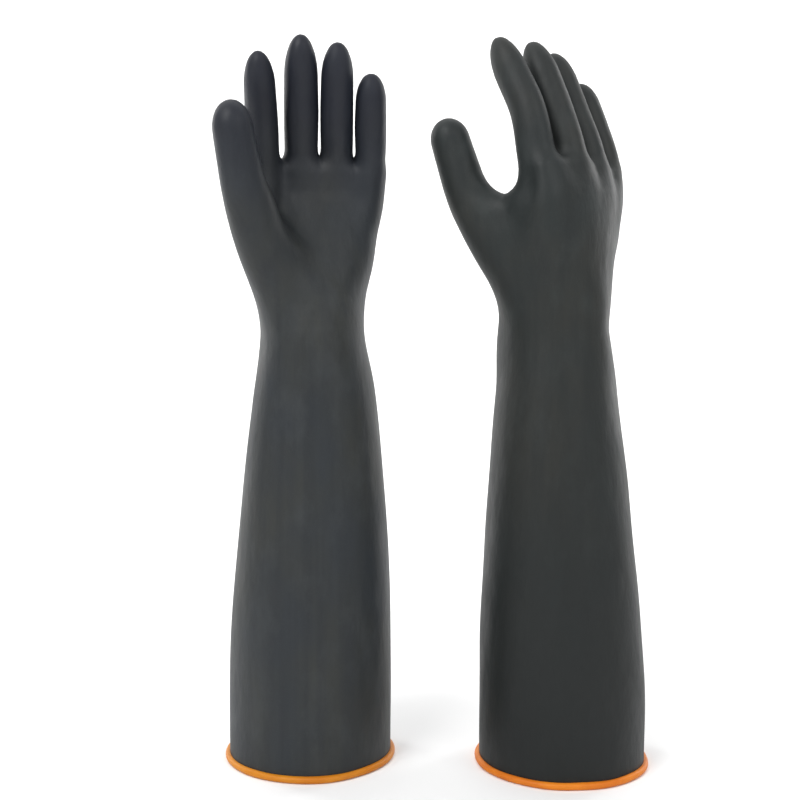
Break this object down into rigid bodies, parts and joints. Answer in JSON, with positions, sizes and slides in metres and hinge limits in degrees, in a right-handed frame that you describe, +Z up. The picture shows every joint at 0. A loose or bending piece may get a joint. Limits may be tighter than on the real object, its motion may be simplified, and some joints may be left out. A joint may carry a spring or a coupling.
{
  "type": "pair of electrical insulating gloves",
  "caption": "Long black rubber insulating gloves with an orange lining and a rolled orange cuff bead, standing on their cuffs; the wrist, fingers and thumb of each bend.",
  "frame": {"origin": "on the floor, under the middle of the pair's box", "axes": "+Z up along the sleeves to the fingertips, +X from the left glove to the right glove, -Y towards the palm of the left glove"},
  "size_m": [0.3266, 0.1538, 0.5464],
  "materials": {
    "skin_rubber": "matte",
    "lining_rubber": "matte",
    "bead_rubber": "satin"
  },
  "bodies": {
    "left_gauntlet": {"left_cuff_bead": "bead_rubber", "left_gauntlet_skin": "skin_rubber", "left_gauntlet_lining": "lining_rubber", "left_wrist_skin": "skin_rubber", "left_wrist_lining": "lining_rubber"},
    "left_hand": {"left_hand_skin": "skin_rubber", "left_hand_lining": "lining_rubber", "left_index_knuckle_skin": "skin_rubber", "left_index_knuckle_lining": "lining_rubber", "left_middle_knuckle_skin": "skin_rubber", "left_middle_knuckle_lining": "lining_rubber", "left_ring_knuckle_skin": "skin_rubber", "left_ring_knuckle_lining": "lining_rubber", "left_little_knuckle_skin": "skin_rubber", "left_little_knuckle_lining": "lining_rubber", "left_thumb_knuckle_skin": "skin_rubber", "left_thumb_knuckle_lining": "lining_rubber"},
    "left_index": {"left_index_finger_skin": "skin_rubber", "left_index_finger_lining": "lining_rubber"},
    "left_middle": {"left_middle_finger_skin": "skin_rubber", "left_middle_finger_lining": "lining_rubber"},
    "left_ring": {"left_ring_finger_skin": "skin_rubber", "left_ring_finger_lining": "lining_rubber"},
    "left_little": {"left_little_finger_skin": "skin_rubber", "left_little_finger_lining": "lining_rubber"},
    "left_thumb": {"left_thumb_tip_skin": "skin_rubber", "left_thumb_tip_lining": "lining_rubber"},
    "right_gauntlet": {"right_cuff_bead": "bead_rubber", "right_gauntlet_skin": "skin_rubber", "right_gauntlet_lining": "lining_rubber", "right_wrist_skin": "skin_rubber", "right_wrist_lining": "lining_rubber"},
    "right_hand": {"right_hand_skin": "skin_rubber", "right_hand_lining": "lining_rubber", "right_index_knuckle_skin": "skin_rubber", "right_index_knuckle_lining": "lining_rubber", "right_middle_knuckle_skin": "skin_rubber", "right_middle_knuckle_lining": "lining_rubber", "right_ring_knuckle_skin": "skin_rubber", "right_ring_knuckle_lining": "lining_rubber", "right_little_knuckle_skin": "skin_rubber", "right_little_knuckle_lining": "lining_rubber", "right_thumb_knuckle_skin": "skin_rubber", "right_thumb_knuckle_lining": "lining_rubber"},
    "right_index": {"right_index_finger_skin": "skin_rubber", "right_index_finger_lining": "lining_rubber"},
    "right_middle": {"right_middle_finger_skin": "skin_rubber", "right_middle_finger_lining": "lining_rubber"},
    "right_ring": {"right_ring_finger_skin": "skin_rubber", "right_ring_finger_lining": "lining_rubber"},
    "right_little": {"right_little_finger_skin": "skin_rubber", "right_little_finger_lining": "lining_rubber"},
    "right_thumb": {"right_thumb_tip_skin": "skin_rubber", "right_thumb_tip_lining": "lining_rubber"}
  },
  "joints": [
    {"name": "left_wrist_bend", "type": "hinge", "parent": "left_gauntlet", "child": "left_hand", "pos_m": [-0.09254, -0.00027, 0.333], "axis": [0.9976, 0.0698, 0], "range_deg": [-45, 45], "stiffness_Nm_per_rad": 1.5, "deforming": ["left_wrist_skin", "left_wrist_lining"]},
    {"name": "left_index_bend", "type": "hinge", "parent": "left_hand", "child": "left_index", "pos_m": [-0.12923, -0.00122, 0.476], "axis": [0.9976, 0.0698, 0], "range_deg": [-15, 45], "stiffness_Nm_per_rad": 0.15, "deforming": ["left_index_knuckle_skin", "left_index_knuckle_lining"]},
    {"name": "left_middle_bend", "type": "hinge", "parent": "left_hand", "child": "left_middle", "pos_m": [-0.10101, 0.00915, 0.476], "axis": [0.9976, 0.0698, 0], "range_deg": [-15, 75], "stiffness_Nm_per_rad": 0.15, "deforming": ["left_middle_knuckle_skin", "left_middle_knuckle_lining"]},
    {"name": "left_ring_bend", "type": "hinge", "parent": "left_hand", "child": "left_ring", "pos_m": [-0.07436, 0.01052, 0.476], "axis": [0.9976, 0.0698, 0], "range_deg": [-15, 75], "stiffness_Nm_per_rad": 0.15, "deforming": ["left_ring_knuckle_skin", "left_ring_knuckle_lining"]},
    {"name": "left_little_bend", "type": "hinge", "parent": "left_hand", "child": "left_little", "pos_m": [-0.04882, 0.01021, 0.476], "axis": [0.9976, 0.0698, 0], "range_deg": [-15, 75], "stiffness_Nm_per_rad": 0.15, "deforming": ["left_little_knuckle_skin", "left_little_knuckle_lining"]},
    {"name": "left_thumb_bend", "type": "hinge", "parent": "left_hand", "child": "left_thumb", "pos_m": [-0.14011, -0.05679, 0.45223], "axis": [0.8635, -0.5043, 0], "range_deg": [-35, 15], "stiffness_Nm_per_rad": 0.2, "deforming": ["left_thumb_knuckle_skin", "left_thumb_knuckle_lining"]},
    {"name": "pair_apart", "type": "slide", "parent": "left_gauntlet", "child": "right_gauntlet", "axis": [1, 0, 0], "range_m": [0, 0.3]},
    {"name": "right_wrist_bend", "type": "hinge", "parent": "right_gauntlet", "child": "right_hand", "pos_m": [0.09082, 0.00617, 0.333], "axis": [-0.6293, -0.7771, 0], "range_deg": [-45, 15], "stiffness_Nm_per_rad": 1.5, "deforming": ["right_wrist_skin", "right_wrist_lining"]},
    {"name": "right_index_bend", "type": "hinge", "parent": "right_hand", "child": "right_index", "pos_m": [0.06899, -0.02334, 0.476], "axis": [-0.6293, -0.7771, 0], "range_deg": [-15, 45], "stiffness_Nm_per_rad": 0.15, "deforming": ["right_index_knuckle_skin", "right_index_knuckle_lining"]},
    {"name": "right_middle_bend", "type": "hinge", "parent": "right_hand", "child": "right_middle", "pos_m": [0.09367, -0.00616, 0.476], "axis": [-0.6293, -0.7771, 0], "range_deg": [-15, 75], "stiffness_Nm_per_rad": 0.15, "deforming": ["right_middle_knuckle_skin", "right_middle_knuckle_lining"]},
    {"name": "right_ring_bend", "type": "hinge", "parent": "right_hand", "child": "right_ring", "pos_m": [0.11009, 0.01487, 0.476], "axis": [-0.6293, -0.7771, 0], "range_deg": [-15, 75], "stiffness_Nm_per_rad": 0.15, "deforming": ["right_ring_knuckle_skin", "right_ring_knuckle_lining"]},
    {"name": "right_little_bend", "type": "hinge", "parent": "right_hand", "child": "right_little", "pos_m": [0.12448, 0.03597, 0.476], "axis": [-0.6293, -0.7771, 0], "range_deg": [-15, 75], "stiffness_Nm_per_rad": 0.15, "deforming": ["right_little_knuckle_skin", "right_little_knuckle_lining"]},
    {"name": "right_thumb_bend", "type": "hinge", "parent": "right_hand", "child": "right_thumb", "pos_m": [0.01724, -0.00037, 0.45223], "axis": [-0.0822, -0.9966, 0], "range_deg": [-35, 15], "stiffness_Nm_per_rad": 0.2, "deforming": ["right_thumb_knuckle_skin", "right_thumb_knuckle_lining"]}
  ]
}
